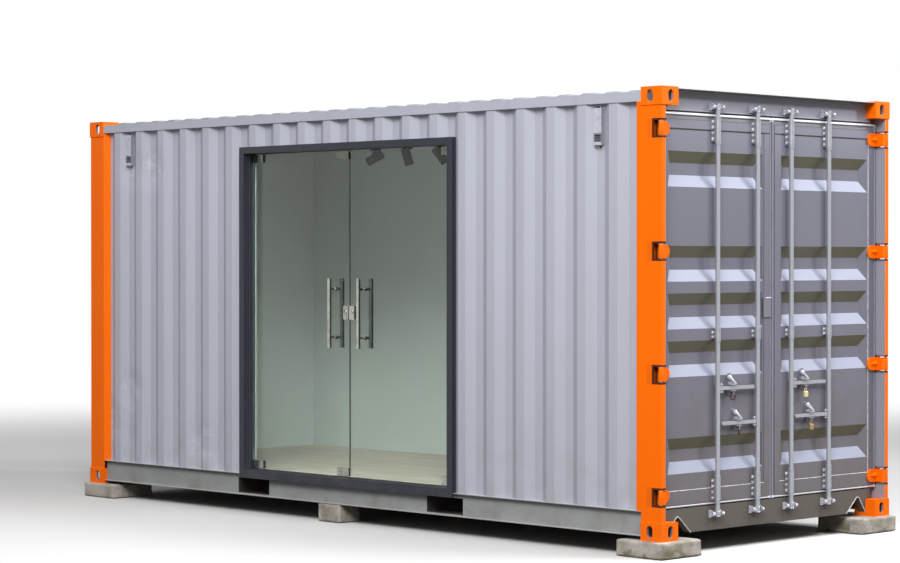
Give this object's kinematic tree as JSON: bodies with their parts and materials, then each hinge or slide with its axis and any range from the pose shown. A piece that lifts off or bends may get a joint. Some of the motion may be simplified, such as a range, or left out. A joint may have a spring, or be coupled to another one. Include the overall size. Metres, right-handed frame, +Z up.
{
  "type": "shipping container cabin",
  "caption": "High steel container used as a cabin: corrugated walls, double glass door in one long side, lined room, steel cargo doors at one end, on concrete blocks.",
  "frame": {"origin": "centre of the footprint, on the underside of the concrete blocks", "axes": "+X along the length towards the cargo doors, -Y towards the side with the glass door, +Z up"},
  "size_m": [6.138, 2.518, 3.006],
  "materials": {
    "concrete": "rough cast concrete",
    "orange_paint": "semi-gloss orange paint",
    "wall_paint": "satin light grey paint",
    "rail_paint": "satin mid grey paint",
    "end_paint": "satin graphite paint",
    "frame_paint": "semi-gloss blue-black paint",
    "underseal": "matt black coating",
    "plywood": "sealed plywood",
    "lining_board": "smooth off-white board",
    "light_black": "satin black",
    "stainless": "polished stainless steel",
    "galvanised": "galvanised steel",
    "lock_brass": "worn brass",
    "seal_rubber": "rubber painted over in the grey of the doors",
    "clear_glass": "clear toughened glass with a faint green tint"
  },
  "bodies": {
    "cabin": {"concrete_blocks": "concrete", "corner_castings": "orange_paint", "door_end_posts": "orange_paint", "blind_end_posts": "orange_paint", "top_side_rails": "wall_paint", "bottom_side_rails": "rail_paint", "door_header": "end_paint", "door_sill": "end_paint", "blind_end_rails": "rail_paint", "front_wall_left": "wall_paint", "front_wall_right": "wall_paint", "front_wall_over_door": "wall_paint", "back_wall": "wall_paint", "blind_end_wall": "wall_paint", "roof_panel": "wall_paint", "cross_members": "underseal", "fork_pockets": "underseal", "floor_deck": "plywood", "wall_lining": "lining_board", "ceiling_lining": "lining_board", "glass_door_frame": "frame_paint", "track_lights": "light_black", "vent_boxes": "wall_paint", "cam_keepers": "galvanised", "hinge_pins": "galvanised"},
    "left_glass_leaf": {"left_glass": "clear_glass", "left_glass_fittings": "stainless", "left_pull_handle": "stainless"},
    "right_glass_leaf": {"right_glass": "clear_glass", "right_glass_fittings": "stainless", "right_pull_handle": "stainless"},
    "left_cargo_door": {"left_cargo_leaf": "end_paint", "left_leaf_gasket": "seal_rubber", "left_hinge_blades": "orange_paint", "left_leaf_fittings": "galvanised"},
    "right_cargo_door": {"right_cargo_leaf": "end_paint", "right_leaf_gasket": "seal_rubber", "right_hinge_blades": "orange_paint", "right_leaf_fittings": "galvanised", "padlocks": "lock_brass"},
    "rod_1": {"lock_rod_1": "galvanised", "lock_handle_1": "galvanised"},
    "rod_2": {"lock_rod_2": "galvanised", "lock_handle_2": "galvanised"},
    "rod_3": {"lock_rod_3": "galvanised", "lock_handle_3": "galvanised"},
    "rod_4": {"lock_rod_4": "galvanised", "lock_handle_4": "galvanised"}
  },
  "joints": [
    {"name": "left_glass_leaf_swing", "type": "hinge", "parent": "cabin", "child": "left_glass_leaf", "pos_m": [-1.016, -1.134, 1.5], "axis": [0, 0, -1], "range_deg": [-90, 90]},
    {"name": "right_glass_leaf_swing", "type": "hinge", "parent": "cabin", "child": "right_glass_leaf", "pos_m": [1.016, -1.134, 1.5], "axis": [0, 0, 1], "range_deg": [-90, 90]},
    {"name": "left_cargo_door_swing", "type": "hinge", "parent": "cabin", "child": "left_cargo_door", "pos_m": [3.01, -1.203, 1.5], "axis": [0, 0, -1], "range_deg": [0, 270]},
    {"name": "right_cargo_door_swing", "type": "hinge", "parent": "cabin", "child": "right_cargo_door", "pos_m": [3.01, 1.203, 1.5], "axis": [0, 0, 1], "range_deg": [0, 270]},
    {"name": "lock_rod_1_turn", "type": "hinge", "parent": "left_cargo_door", "child": "rod_1", "pos_m": [2.972, -0.595, 1], "axis": [0, 0, 1], "range_deg": [-100, 0]},
    {"name": "lock_rod_2_turn", "type": "hinge", "parent": "left_cargo_door", "child": "rod_2", "pos_m": [2.972, -0.18, 1], "axis": [0, 0, -1], "range_deg": [-100, 0]},
    {"name": "lock_rod_3_turn", "type": "hinge", "parent": "right_cargo_door", "child": "rod_3", "pos_m": [2.972, 0.18, 1], "axis": [0, 0, 1], "range_deg": [-100, 0]},
    {"name": "lock_rod_4_turn", "type": "hinge", "parent": "right_cargo_door", "child": "rod_4", "pos_m": [2.972, 0.595, 1], "axis": [0, 0, -1], "range_deg": [-100, 0]}
  ]
}
